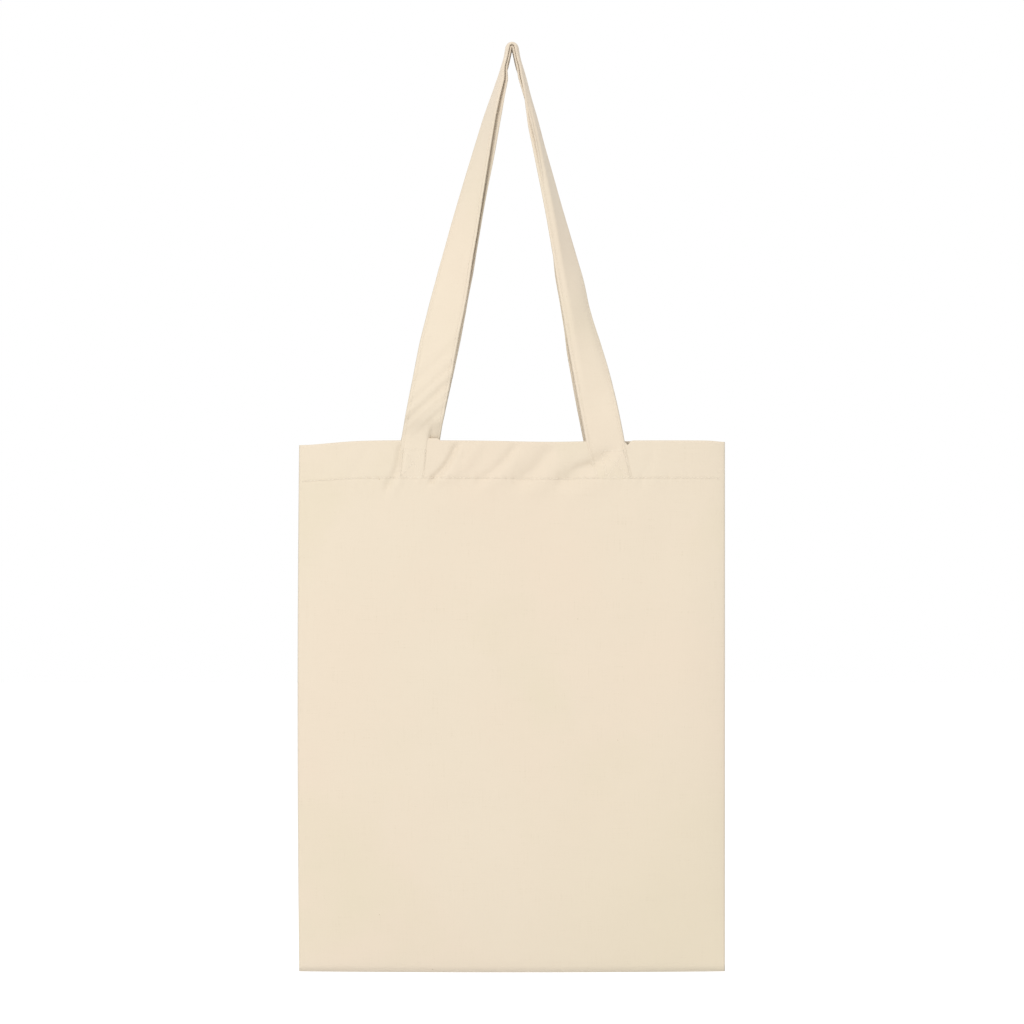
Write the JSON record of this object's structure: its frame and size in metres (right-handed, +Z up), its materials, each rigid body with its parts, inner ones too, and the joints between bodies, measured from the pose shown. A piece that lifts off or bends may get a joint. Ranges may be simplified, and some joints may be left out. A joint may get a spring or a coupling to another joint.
{
  "type": "tote bag",
  "caption": "Flat cotton canvas tote bag with a hemmed open mouth and long shoulder handles sewn on with box-and-cross stitching, hung by its handles.",
  "frame": {"origin": "under the middle of the handles, where they lie on top of the peg that the bag hangs from", "axes": "+X to the right seen from the front, +Y to the back, +Z up; the front panel faces -Y and the bag hangs below the origin"},
  "size_m": [0.34, 0.0376, 0.7432],
  "materials": {
    "natural_canvas": "matt plain weave, undyed",
    "handle_webbing": "matt plain weave, folded and pressed",
    "cotton_thread": "matt twisted thread"
  },
  "bodies": {
    "seams": {"left_side_seam": "natural_canvas", "right_side_seam": "natural_canvas", "bottom_seam": "natural_canvas"},
    "front_wall": {"front_panel": "natural_canvas", "front_hem": "natural_canvas", "front_left_handle_end": "handle_webbing", "front_right_handle_end": "handle_webbing", "front_hem_stitch": "cotton_thread", "front_left_cross_stitch": "cotton_thread", "front_right_cross_stitch": "cotton_thread"},
    "front_loop": {"front_handle": "handle_webbing", "front_handle_outer_stitch": "cotton_thread", "front_handle_inner_stitch": "cotton_thread"},
    "back_wall": {"back_panel": "natural_canvas", "back_hem": "natural_canvas", "back_left_handle_end": "handle_webbing", "back_right_handle_end": "handle_webbing", "back_hem_stitch": "cotton_thread", "back_left_cross_stitch": "cotton_thread", "back_right_cross_stitch": "cotton_thread"},
    "back_loop": {"back_handle": "handle_webbing", "back_handle_outer_stitch": "cotton_thread", "back_handle_inner_stitch": "cotton_thread"}
  },
  "joints": [
    {"name": "front_wall_opens", "type": "hinge", "parent": "seams", "child": "front_wall", "pos_m": [0, 0, -0.739], "axis": [1, 0, 0], "range_deg": [0, 6.5]},
    {"name": "back_wall_opens", "type": "hinge", "parent": "seams", "child": "back_wall", "pos_m": [0, 0, -0.739], "axis": [-1, 0, 0], "range_deg": [0, 6.5]},
    {"name": "front_handle_folds", "type": "hinge", "parent": "front_wall", "child": "front_loop", "pos_m": [0, -0.01565, -0.315], "axis": [1, 0, 0], "range_deg": [0, 165]},
    {"name": "back_handle_folds", "type": "hinge", "parent": "back_wall", "child": "back_loop", "pos_m": [0, 0.01565, -0.315], "axis": [-1, 0, 0], "range_deg": [0, 165]}
  ],
  "couplings": [
    {"joint": "back_wall_opens", "follows": "front_wall_opens", "ratio": 1}
  ]
}
